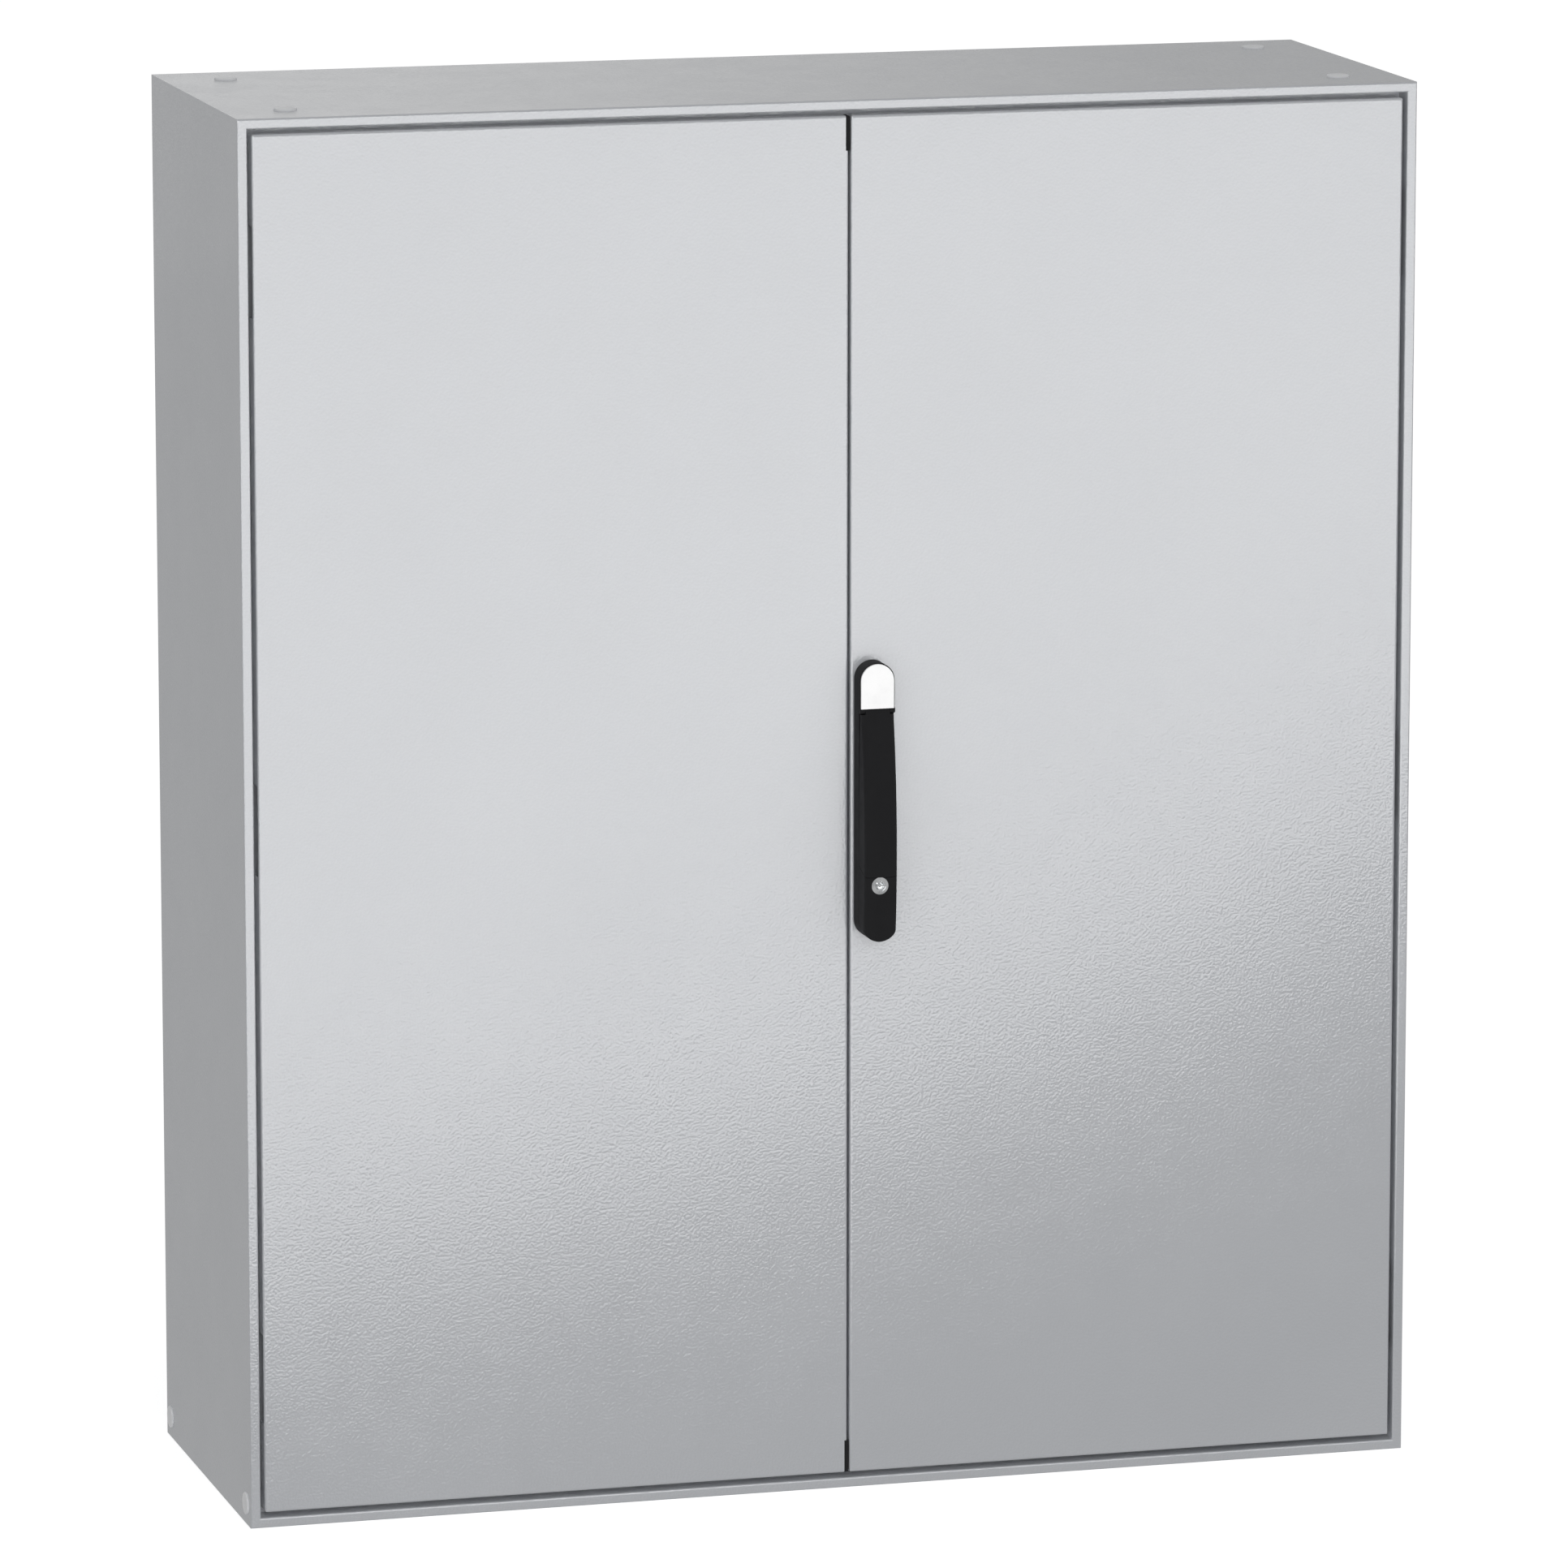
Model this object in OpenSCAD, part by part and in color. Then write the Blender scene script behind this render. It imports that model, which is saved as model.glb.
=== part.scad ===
// Two-door floor-standing switchboard enclosure with a swivel handle and lock rods.
// Front faces -Y, +X is to the right, +Z is up. The origin is the centre of the base.

/* [Enclosure] */
// Overall width of the body
cabinet_w = 1200; // [1180:10:1240]
// Overall height of the body
cabinet_h = 1400; // [1380:10:1600]
// Overall depth of the body, doors included
cabinet_d = 400; // [380:10:500]
// Sheet thickness of body and rear panel
body_t = 1.5; // [1.25:0.25:1.5]
// Visible width of the folded frame round the doors
frame_w = 10; // [9:0.5:12]

/* [Doors] */
// Sheet thickness of the doors
door_t = 2; // [1.5:0.5:2]
// Gap between door and frame
door_gap = 4.5; // [4.5:0.1:5]
// Gap between the two doors
centre_gap = 2.7; // [2.5:0.1:3.5]
// Right edge of the left door, measured from the middle
left_edge_x = 12.2; // [12:0.1:12.5]
// Height of the middle hinge on each door
hinge_z = 700; // [680:10:720]
// Distance from the middle hinge to the outer two
hinge_step = 550; // [500:10:560]

/* [Handle] */
// Height of the handle's turning axis
spindle_z = 825; // [820:0.5:830]
// Overall length of the handle
handle_l = 279; // [276:1:284]
// Overall width of the handle
handle_w = 36; // [35:0.5:37]
// How far the grip stands out from the door
grip_depth = 36.5; // [35.5:0.5:39]

/* [Inside] */
// Thickness of the mounting plate
plate_t = 3; // [2.5:0.5:3]
// Width of the mounting plate
plate_w = 1090; // [1040:10:1090]
// Distance from the mounting plate's face to the rear of the body
plate_setback = 50; // [45:5:60]
// Width of each cable opening in the floor
gland_w = 480; // [400:10:480]
// Depth of each cable opening in the floor
gland_d = 230; // [180:10:230]

/* [Hidden] */
$fn = 48;
half_w = cabinet_w / 2;
half_d = cabinet_d / 2;
grey = [0.80, 0.81, 0.83];
zinc = [0.72, 0.74, 0.76];
black = [0.10, 0.10, 0.11];
steel = [0.62, 0.63, 0.65];
foam = [0.16, 0.16, 0.17];

// frame profile: channel wall, shelf and sealing lip, as distances from the outer faces
shelf_u = 40;
shelf_v = 28;
lip_v = 9.4;
bend_r = 1.7;
edge_r = 1.7;
rear_flange = 25;

// doors
door_y = -half_d + 0.5;
door_back = door_y + door_t;
door_x = half_w - frame_w - door_gap;
door_low = frame_w + door_gap + 1;
door_high = cabinet_h - door_low;
door_depth = 21.5;
door_flange = 12;
right_edge_x = left_edge_x + centre_gap;
fold_r = 2.3;
gasket_w = 10;
gasket_t = 6;
lip_mid = shelf_u - body_t / 2;
lip_slot = 3;
cap_notch = 2.7;
cap_top = 34.5;
cap_bottom = 33;

// hinges
hinge_in = 8;
hinge_x = door_x - hinge_in;
hinge_y = door_y + 8;
knuckle_r = 5.5;
pin_r = 2.5;
hinge_levels = [hinge_z - hinge_step, hinge_z, hinge_z + hinge_step];
shelf_y = -half_d + shelf_v;

// handle
handle_x = right_edge_x + 21.6;
arc_r = handle_w / 2;
arc_low = spindle_z + arc_r - handle_l + arc_r;
base_depth = 17.5;
cap_low = spindle_z - 27.7;
pivot_z = cap_low - 2.7;
pivot_depth = 20.2;
nose_r = 2.2;
bow_z = spindle_z - 175;
bow_s = grip_depth - 22.4;
bow_r = ((cap_low - 1 - bow_z) * (cap_low - 1 - bow_z) + bow_s * bow_s) / (2 * bow_s);
tip_r = 187;
tip_slope = 0.5;
lock_x = handle_x - 1;
lock_z = spindle_z - 203.6;
lock_face = grip_depth - 0.8;
base_screws = [spindle_z - 80, spindle_z - 225];

// rod drive: a pinion between two racks
gear_m = 1.5;
teeth = 14;
pitch_r = gear_m * teeth / 2;
tooth_up = 0.8 * gear_m;
tooth_down = gear_m;
tooth_share = 0.44;
rod_y = -half_d + 28;
rod_t = 8;
rod_w = 5.5;
rod_play = 0.3;
rod_top = cabinet_h - shelf_u - 2.5;
rod_low = shelf_u + 2.5;
case_low = spindle_z - 51.5;
case_high = spindle_z + 48.5;
case_half = 19.5;
case_studs = [spindle_z - 41.5, spindle_z + 38.5];
upper_guides = [950, 1140, cabinet_h - 75];
lower_guides = [640, 360, 75];
stud_r = 3;

// slide bolts of the left door
bolt_x = -12;
bolt_y = -half_d + 34;
bolt_r = 5;

// interior
plate_front = half_d - plate_setback;
plate_low = 55;
plate_high = cabinet_h - 55;
plate_screw_x = plate_w / 2 - 12;
plate_screw_z = 38;
flange_y = half_d - body_t - 2;
gland_x = 290;
gland_rim = 20;
plinth_x = half_w - 42;
plinth_y = half_d - 42;
plinth_r = 6.5;
roof_x = half_w - 62;
roof_y = half_d - 64;
side_y = half_d - 20;
side_z = 21.5;
earth_x = 400;
earth_y = -half_d + 48;
earth_r = 4;
plate_stud_x = -300;
door_stud_x = 520;
door_stud_z = 100;
plug_r = 9;
plug_head_r = 11.4;
stiff_left = [-430, -150];
stiff_right = [170, 430];
rear_screw_x = [for (i = [-2:2]) i * (cabinet_w - 26) / 4];
rear_screw_z = [for (i = [1:3]) 13 + i * (cabinet_h - 26) / 4];

// ---- helpers ----

// box from a low corner to a high corner
module span(a, b) {
  translate(a) cube(b - a);
}

// extrudes a drawing in X and Z towards +Y, from y0 to y1
module along_y(y0, y1) {
  translate([0, y1, 0]) rotate([90, 0, 0]) linear_extrude(y1 - y0) children();
}

// round bar along Y
module bar_y(x, z, y0, y1, r) {
  translate([x, y0, z]) rotate([-90, 0, 0]) cylinder(h = y1 - y0, r = r);
}

// round bar along Z
module bar_z(x, y, z0, z1, r) {
  translate([x, y, z0]) cylinder(h = z1 - z0, r = r);
}

// round bar along X
module bar_x(y, z, x0, x1, r) {
  translate([x0, y, z]) rotate([0, 90, 0]) cylinder(h = x1 - x0, r = r);
}

// hexagonal nut along +Y with its thread hole
module nut_y(x, z, y0, thick, across, r) {
  translate([x, y0, z]) rotate([-90, 0, 0]) difference() {
    cylinder(h = thick, r = across / 2 / cos(30), $fn = 6);
    translate([0, 0, -1]) cylinder(h = thick + 2, r = r);
  }
}

// hexagonal nut along +Z with its thread hole
module nut_z(x, y, z0, thick, across, r) {
  translate([x, y, z0]) difference() {
    cylinder(h = thick, r = across / 2 / cos(30), $fn = 6);
    translate([0, 0, -1]) cylinder(h = thick + 2, r = r);
  }
}

// rectangle from a low corner to a high corner
module rect(a, b) {
  translate(a) square(b - a);
}

// rectangle with round corners
module round_rect(a, b, r) {
  rect([a[0] + r, a[1]], [b[0] - r, b[1]]);
  rect([a[0], a[1] + r], [b[0], b[1] - r]);
  for (x = [a[0] + r, b[0] - r], y = [a[1] + r, b[1] - r]) translate([x, y]) circle(r);
}

// quarter of a bent sheet: sx and sy point from the bend's centre to its outer corner
module bend(c, sx, sy, r, t) {
  translate(c) intersection() {
    difference() {
      circle(r);
      circle(r - t);
    }
    rect([min(0, sx * r), min(0, sy * r)], [max(0, sx * r), max(0, sy * r)]);
  }
}

// one profile along all four sides of the front, mitred at the corners
// the profile's x runs inwards from the outer face and its y runs back from the front
module four_sides(a, b, y0) {
  for (side = [0:3]) intersection() {
    translate([(a[0] + b[0]) / 2, y0, (a[1] + b[1]) / 2]) rotate([0, side * 90, 0])
      side_run(side % 2 == 0 ? b[0] - a[0] : b[1] - a[1],
               side % 2 == 0 ? b[1] - a[1] : b[0] - a[0]) children();
    translate([(a[0] + b[0]) / 2, y0, (a[1] + b[1]) / 2]) rotate([0, side * 90, 0])
      mitre(side % 2 == 0 ? b[0] - a[0] : b[1] - a[1],
            side % 2 == 0 ? b[1] - a[1] : b[0] - a[0]);
  }
}

// the profile set along the -X side of a rectangle w wide and h high
module side_run(w, h) {
  translate([-w / 2, 0, -h / 2]) linear_extrude(h) children();
}

// the triangle or trapezium that the -X side keeps
module mitre(w, h) {
  reach = min(w, h) / 2 - 1;
  along_y(-20, cabinet_d + 40)
    polygon([[-w / 2, -h / 2], [-w / 2 + reach, -h / 2 + reach], [-w / 2 + reach, h / 2 - reach],
             [-w / 2, h / 2]]);
}

// ---- body ----

module frame_profile() {
  t = body_t;
  c = bend_r;
  rect([0, edge_r], [t, cabinet_d]);
  bend([edge_r, edge_r], -1, -1, edge_r, t);
  rect([edge_r, 0], [frame_w - c, t]);
  bend([frame_w - c, c], 1, -1, c, t);
  rect([frame_w - t, c], [frame_w, shelf_v - edge_r]);
  bend([frame_w - t + edge_r, shelf_v - edge_r], -1, 1, edge_r, t);
  rect([frame_w - t + edge_r, shelf_v - t], [shelf_u - edge_r, shelf_v]);
  bend([shelf_u - edge_r, shelf_v - edge_r], 1, 1, edge_r, t);
  rect([shelf_u - t, lip_v], [shelf_u, shelf_v - edge_r]);
  rect([0, cabinet_d - t - 2 - t], [rear_flange, cabinet_d - 2 - t]);
}

module enclosure_body() {
  color(grey) difference() {
    union() {
      four_sides([-half_w, 0], [half_w, cabinet_h], -half_d) frame_profile();
      for (s = [-1, 1]) bar_z(s * earth_x, earth_y, body_t - 0.5, 26, earth_r);
    }
    for (s = [-1, 1]) {
      span([s * gland_x - gland_w / 2, -gland_d / 2, -1],
           [s * gland_x + gland_w / 2, gland_d / 2, 5]);
      for (t = [-1, 1]) {
        bar_z(s * plinth_x, t * plinth_y, -1, 5, plinth_r);
        bar_z(s * roof_x, t * roof_y, cabinet_h - 5, cabinet_h + 1, plug_r);
        bar_x(t * side_y, side_z, s * half_w - 4, s * half_w + 4, plug_r);
      }
      gland_holes(s * gland_x, -1, 5);
      hinge_holes(s);
    }
    rear_holes(flange_y - 5, flange_y + 1);
  }
}

module rear_holes(y0, y1) {
  for (x = rear_screw_x, z = [13, cabinet_h - 13]) bar_y(x, z, y0, y1, pin_r);
  for (s = [-1, 1], z = rear_screw_z) bar_y(s * (half_w - 13), z, y0, y1, pin_r);
}

module rear_panel() {
  color(grey) difference() {
    span([-half_w + 2.5, half_d - body_t, 2.5], [half_w - 2.5, half_d, cabinet_h - 2.5]);
    rear_holes(half_d - 5, half_d + 1);
  }
}

module rear_gasket() {
  color(foam) difference() {
    span([-half_w + 3, flange_y, 3], [half_w - 3, half_d - body_t, cabinet_h - 3]);
    span([-half_w + rear_flange - 1, flange_y - 1, rear_flange - 1],
         [half_w - rear_flange + 1, half_d, cabinet_h - rear_flange + 1]);
    rear_holes(flange_y - 1, half_d);
  }
}

module rear_panel_screws() {
  color(steel) {
    for (x = rear_screw_x, z = [13, cabinet_h - 13]) rear_screw(x, z);
    for (s = [-1, 1], z = rear_screw_z) rear_screw(s * (half_w - 13), z);
  }
}

module rear_screw(x, z) {
  difference() {
    union() {
      bar_y(x, z, flange_y - 8, half_d, pin_r);
      bar_y(x, z, half_d, half_d + 2.4, 4.6);
    }
    for (a = [0, 90]) translate([x, half_d + 2.4, z]) rotate([0, a, 0]) cube([4.6, 2.6, 0.8], true);
  }
}

// round press-in plug with a domed rim, pointing up from the sheet's outer face
module plug() {
  rotate_extrude() {
    rect([0, -body_t - 5], [plug_r, 0]);
    rect([0, 0], [plug_head_r - 1.2, 2.2]);
    rect([0, 0], [plug_head_r, 1]);
    intersection() {
      translate([plug_head_r - 1.2, 1]) circle(1.2);
      rect([0, 0], [plug_head_r, 2.2]);
    }
  }
}

module roof_plugs() {
  color(grey) for (s = [-1, 1], t = [-1, 1]) translate([s * roof_x, t * roof_y, cabinet_h]) plug();
}

module side_plugs() {
  color(grey) for (s = [-1, 1], t = [-1, 1])
    translate([s * half_w, t * side_y, side_z]) rotate([0, s * 90, 0]) plug();
}

// ---- inside the body ----

module mounting_plate() {
  low = plate_low;
  color(zinc) difference() {
    union() {
      span([-plate_w / 2, plate_front, low], [plate_w / 2, plate_front + plate_t, plate_high]);
      for (s = [-1, 1]) {
        x = s * (plate_w / 2 - plate_t / 2);
        span([x - plate_t / 2, plate_front, low + 110],
             [x + plate_t / 2, plate_front + 18, plate_high - 110]);
      }
      bar_y(plate_stud_x, low + 30, plate_front + plate_t - 0.5, plate_front + 24, earth_r);
    }
    for (s = [-1, 1], z = [low + plate_screw_z, plate_high - plate_screw_z])
      translate([s * plate_screw_x, plate_front - 0.01, z]) rotate([-90, 0, 0]) {
        cylinder(h = 3.01, r1 = 6.2, r2 = 3.2);
        cylinder(h = 6, r = 3.2);
      }
  }
}

module plate_brackets() {
  color(zinc) for (s = [-1, 1], z = [plate_low + plate_screw_z, plate_high - plate_screw_z]) {
    y = plate_front + plate_t;
    difference() {
      union() {
        span([min(s * (half_w - body_t), s * (plate_w / 2 - 30)), y, z - 28],
             [max(s * (half_w - body_t), s * (plate_w / 2 - 30)), y + 3, z + 28]);
        span([min(s * (half_w - body_t), s * (half_w - body_t - 3)), y - 45, z - 28],
             [max(s * (half_w - body_t), s * (half_w - body_t - 3)), y + 3, z + 28]);
      }
      bar_y(s * plate_screw_x, z, y - 1, y + 5, 3.2);
    }
  }
}

module plate_screws() {
  color(steel) for (s = [-1, 1], z = [plate_low + plate_screw_z, plate_high - plate_screw_z])
    translate([s * plate_screw_x, plate_front + 0.3, z]) rotate([-90, 0, 0]) difference() {
      union() {
        cylinder(h = 3, r1 = 5.8, r2 = 2.8);
        cylinder(h = 18, r = 3);
      }
      for (a = [0, 90]) rotate([0, 0, a]) cube([6, 1, 3], true);
    }
}

module plate_nuts() {
  color(steel) for (s = [-1, 1], z = [plate_low + plate_screw_z, plate_high - plate_screw_z])
    nut_y(s * plate_screw_x, z, plate_front + plate_t + 3, 5, 10, 3);
}

// fixing holes round one gland opening
module gland_holes(x, z0, z1) {
  w = gland_w / 2 + gland_rim / 2;
  d = gland_d / 2 + gland_rim / 2;
  for (i = [-1:1], s = [-1, 1]) bar_z(x + i * w, s * d, z0, z1, pin_r);
  for (s = [-1, 1]) bar_z(x + s * w, 0, z0, z1, pin_r);
}

module gland_ring(x, z0, z1, hole) {
  w = gland_w / 2 + gland_rim - 1;
  d = gland_d / 2 + gland_rim - 1;
  difference() {
    span([x - w, -d, z0], [x + w, d, z1]);
    if (hole) span([x - gland_w / 2 - 2, -gland_d / 2 - 2, z0 - 1],
                   [x + gland_w / 2 + 2, gland_d / 2 + 2, z1 + 1]);
    gland_holes(x, z0 - 1, z1 + 1);
  }
}

module gland_plate_left() {
  color(zinc) gland_ring(-gland_x, body_t + 2, body_t + 4, false);
}

module gland_plate_right() {
  color(zinc) gland_ring(gland_x, body_t + 2, body_t + 4, false);
}

module gland_gaskets() {
  color(foam) for (s = [-1, 1]) gland_ring(s * gland_x, body_t, body_t + 2, true);
}

module gland_screws() {
  w = gland_w / 2 + gland_rim / 2;
  d = gland_d / 2 + gland_rim / 2;
  color(steel) for (x = [-gland_x, gland_x]) {
    for (i = [-1:1], s = [-1, 1]) gland_screw(x + i * w, s * d);
    for (s = [-1, 1]) gland_screw(x + s * w, 0);
  }
}

module gland_screw(x, y) {
  difference() {
    union() {
      bar_z(x, y, 0.3, body_t + 4, pin_r);
      bar_z(x, y, body_t + 4, body_t + 7, 4.6);
    }
    for (a = [0, 90]) translate([x, y, body_t + 7]) rotate([0, 0, a]) cube([4.6, 0.8, 2.6], true);
  }
}

module earth_nuts() {
  color(steel) {
    for (s = [-1, 1]) {
      washer_z(s * earth_x, earth_y, body_t);
      nut_z(s * earth_x, earth_y, body_t + 1.6, 6.5, 13, earth_r);
    }
    nut_y(plate_stud_x, plate_low + 30, plate_front + plate_t, 6.5, 13, earth_r);
  }
}

module washer_z(x, y, z) {
  difference() {
    bar_z(x, y, z, z + 1.6, 8);
    bar_z(x, y, z - 1, z + 3, earth_r);
  }
}

// ---- hinges ----

// everything of one hinge is drawn for the left door with its axis at x = 0, y = 0
module at_hinges(side) {
  for (z = hinge_levels) translate([side * hinge_x, hinge_y, z]) mirror([side > 0 ? 1 : 0, 0, 0])
    children();
}

module hinge_holes(side) {
  at_hinges(side) for (z = [-17, 17]) bar_y(7.5, z, 14, 24, pin_r);
}

module hinge_bracket() {
  back = shelf_y - body_t - hinge_y;
  difference() {
    union() {
      bar_z(0, 0, -9.5, 9.5, knuckle_r);
      span([-0.5, 2, -9.5], [3, back, 9.5]);
      span([-0.5, back - 3, -26], [13, back, 26]);
    }
    bar_z(0, 0, -12, 12, pin_r);
    for (z = [-17, 17]) bar_y(7.5, z, back - 5, back + 1, pin_r);
  }
}

module hinge_brackets_left() {
  color(zinc) at_hinges(-1) hinge_bracket();
}

module hinge_brackets_right() {
  color(zinc) at_hinges(1) hinge_bracket();
}

module hinge_pins_left() {
  color(steel) at_hinges(-1) bar_z(0, 0, -30, 30, pin_r);
}

module hinge_pins_right() {
  color(steel) at_hinges(1) bar_z(0, 0, -30, 30, pin_r);
}

module hinge_screws() {
  back = shelf_y - body_t - hinge_y;
  color(steel) for (side = [-1, 1]) at_hinges(side) for (z = [-17, 17]) difference() {
    union() {
      bar_y(7.5, z, back - 3, back + 6, pin_r);
      bar_y(7.5, z, back - 5.6, back - 3, 4);
    }
    translate([7.5, back - 5.6, z]) rotate([-90, 0, 0]) cylinder(h = 1.6, r = 1.7, $fn = 6);
  }
}

module hinge_lugs() {
  for (s = [-1, 1]) difference() {
    union() {
      bar_z(0, 0, s > 0 ? 10 : -27, s > 0 ? 27 : -10, knuckle_r);
      span([0, door_back - hinge_y, s > 0 ? 10 : -27], [11, -2.5, s > 0 ? 27 : -10]);
    }
    bar_z(0, 0, -30, 30, pin_r + 0.05);
  }
}

module left_door_hinge_lugs() {
  color(zinc) at_hinges(-1) hinge_lugs();
}

module right_door_hinge_lugs() {
  color(zinc) at_hinges(1) hinge_lugs();
}

// ---- doors ----

module door_profile() {
  t = door_t;
  rect([0, fold_r], [t, door_depth - fold_r]);
  bend([fold_r, fold_r], -1, -1, fold_r, t);
  bend([fold_r, door_depth - fold_r], -1, 1, fold_r, t);
  rect([fold_r, door_depth - t], [door_flange, door_depth]);
  rect([fold_r, 0], [30, t]);
}

// folded door sheet between two edges, notched at its hinges
module door_sheet(x0, x1, side) {
  difference() {
    union() {
      four_sides([x0, door_low], [x1, door_high], door_y) door_profile();
      span([x0 + 20, door_y, door_low + 20], [x1 - 20, door_back, door_high - 20]);
    }
    at_hinges(side) span([-hinge_in - 2, door_back - hinge_y + 1, -45], [8, 20, 45]);
    for (x = [x0, x1], z = [door_low, door_high]) door_corner(x, z, x0, door_low);
  }
}

// slots in a door's free edge, where it crosses the frame's sealing lip
module lip_slots(x0, x1) {
  low = lip_mid - lip_slot;
  for (z = [low, cabinet_h - low - 2 * lip_slot])
    span([x0, -half_d + lip_v - 2, z], [x1, door_y + 40, z + 2 * lip_slot]);
}

// what rounds one corner of a door, seen from the front
module door_corner(x, z, x0, z0) {
  sx = x == x0 ? 1 : -1;
  sz = z == z0 ? 1 : -1;
  along_y(door_y - 1, door_y + 40) translate([x, z]) difference() {
    rect([min(-sx, sx * 3), min(-sz, sz * 3)], [max(-sx, sx * 3), max(-sz, sz * 3)]);
    translate([sx * 3, sz * 3]) circle(3);
  }
}

module gasket(x0, x1) {
  low = lip_mid - gasket_w / 2;
  high = cabinet_h - low;
  difference() {
    span([x0, door_back, low], [x1, door_back + gasket_t, high]);
    span([x0 + gasket_w, door_back - 1, low + gasket_w],
         [x1 - gasket_w, door_back + 9, high - gasket_w]);
  }
}

// upright hat rail with a row of slots
module stiffener(x) {
  low = 75;
  count = floor((cabinet_h - 2 * low - 30) / 50);
  translate([x, door_back, low]) difference() {
    linear_extrude(cabinet_h - 2 * low) {
      rect([-26, 0], [-13.5, 1.5]);
      rect([13.5, 0], [26, 1.5]);
      for (s = [-1, 1]) rect([s * 14.25 - 0.75, 0], [s * 14.25 + 0.75, 18]);
      rect([-15, 16.5], [15, 18]);
    }
    for (i = [0:count]) translate([0, 17, 25 + i * 50]) cube([9, 6, 22], true);
  }
}

module door_stud(x, z, y1, r) {
  bar_y(x, z, door_back - 0.5, y1, r);
}

module left_door_panel() {
  color(grey) difference() {
    union() {
      door_sheet(-door_x, left_edge_x, -1);
      door_stud(-door_stud_x, door_stud_z, door_back + 20, earth_r);
    }
    for (z = [[door_low - 1, door_low + cap_bottom], [door_high - cap_top, door_high + 1]])
      span([left_edge_x - cap_notch, door_y - 1, z[0]], [left_edge_x + 1, door_y + 30, z[1]]);
    lip_slots(left_edge_x - door_flange - 1, left_edge_x + 1);
  }
}

module right_door_panel() {
  color(grey) difference() {
    union() {
      door_sheet(right_edge_x, door_x, 1);
      door_stud(door_stud_x, door_stud_z, door_back + 20, earth_r);
      for (z = concat(case_studs, upper_guides, lower_guides))
        door_stud(handle_x, z, rod_y + rod_t + 9, stud_r);
    }
    bar_y(handle_x, spindle_z, door_y - 1, door_y + 5, 7.5);
    for (z = base_screws) bar_y(handle_x, z, door_y - 1, door_y + 5, pin_r);
    lip_slots(right_edge_x - 1, right_edge_x + door_flange + 1);
  }
}

module left_door_gasket() {
  color(foam) gasket(-half_w + lip_mid - gasket_w / 2, left_edge_x - 9.7);
}

module right_door_gasket() {
  color(foam) gasket(right_edge_x + 3.1, half_w - lip_mid + gasket_w / 2);
}

module left_door_stiffeners() {
  color(grey) for (x = stiff_left) stiffener(x);
}

module right_door_stiffeners() {
  color(grey) for (x = stiff_right) stiffener(x);
}

module left_door_earth_nut() {
  color(steel) nut_y(-door_stud_x, door_stud_z, door_back, 6.5, 13, earth_r);
}

module right_door_earth_nut() {
  color(steel) nut_y(door_stud_x, door_stud_z, door_back, 6.5, 13, earth_r);
}

// plastic end piece filling the notch at one end of the left door's free edge
module edge_cap(z0, z1, inner0, inner1) {
  x = left_edge_x - cap_notch + 0.1;
  difference() {
    union() {
      span([3, door_back + 0.4, inner0], [x, door_y + 18, inner1]);
      span([x, door_y + 0.6, z0], [right_edge_x - 1.2, door_y + 18, z1]);
    }
    lip_slots(0, right_edge_x);
  }
}

module left_door_edge_caps() {
  color(black) {
    edge_cap(door_high - cap_top + 0.2, door_high - 0.6, door_high - cap_top + 0.2,
             door_high - door_t - 0.6);
    edge_cap(door_low + 0.6, door_low + cap_bottom - 0.2, door_low + door_t + 0.6,
             door_low + cap_bottom - 0.2);
  }
}

// ---- slide bolts of the left door ----

// both bolts are drawn at the top; the lower one is mirrored about mid height
module at_bottom() {
  translate([0, 0, cabinet_h]) mirror([0, 0, 1]) children();
}

module bolt_bracket() {
  top = cabinet_h - shelf_u;
  difference() {
    union() {
      span([bolt_x - 10, door_back, top - 95], [bolt_x + 3, door_back + 3, top - 23]);
      for (z = [top - 95, top - 35]) {
        span([bolt_x - 10, door_back, z], [bolt_x + 3, bolt_y - 7, z + 12]);
        span([bolt_x - 10, bolt_y - 8, z], [bolt_x + 8, bolt_y + 8, z + 12]);
      }
    }
    bar_z(bolt_x, bolt_y, top - 100, top, bolt_r + 0.06);
  }
}

module slide_bolt() {
  top = cabinet_h - shelf_u;
  bar_z(bolt_x, bolt_y, top - 102, top - 6.5, bolt_r);
  translate([bolt_x, bolt_y, top - 6.5]) cylinder(h = 4, r1 = bolt_r, r2 = 3);
  bar_y(bolt_x, top - 46, bolt_y, bolt_y + 15, 3);
  bar_y(bolt_x, top - 46, bolt_y + 11, bolt_y + 17, 5);
}

module bolt_brackets() {
  color(black) {
    bolt_bracket();
    at_bottom() bolt_bracket();
  }
}

module top_slide_bolt() {
  color(steel) slide_bolt();
}

module bottom_slide_bolt() {
  color(steel) at_bottom() slide_bolt();
}

// ---- rod drive of the right door ----

function involute(t) = [cos(t) + t * PI / 180 * sin(t), sin(t) - t * PI / 180 * cos(t)];
base_r = pitch_r * cos(20);
out_r = pitch_r + tooth_up;
root_r = pitch_r - tooth_down;
steps = 4;
// unrolled angle at a radius, and how far the flank is turned there
function unroll(r) = sqrt(r * r / (base_r * base_r) - 1) * 180 / PI;
function turned(r) = unroll(r) - acos(base_r / r);
half_tooth = tooth_share * 180 / teeth + turned(pitch_r);
flank = [for (i = [0:steps]) base_r * involute(unroll(out_r) * i / steps)];
function turn(p, a) = [p[0] * cos(a) - p[1] * sin(a), p[0] * sin(a) + p[1] * cos(a)];
tooth = concat(
  [[0.7 * root_r * cos(half_tooth), -0.7 * root_r * sin(half_tooth)]],
  [for (p = flank) turn(p, -half_tooth)],
  [for (i = [steps:-1:0]) let (q = turn(flank[i], -half_tooth)) [q[0], -q[1]]],
  [[0.7 * root_r * cos(half_tooth), 0.7 * root_r * sin(half_tooth)]]
);

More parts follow.
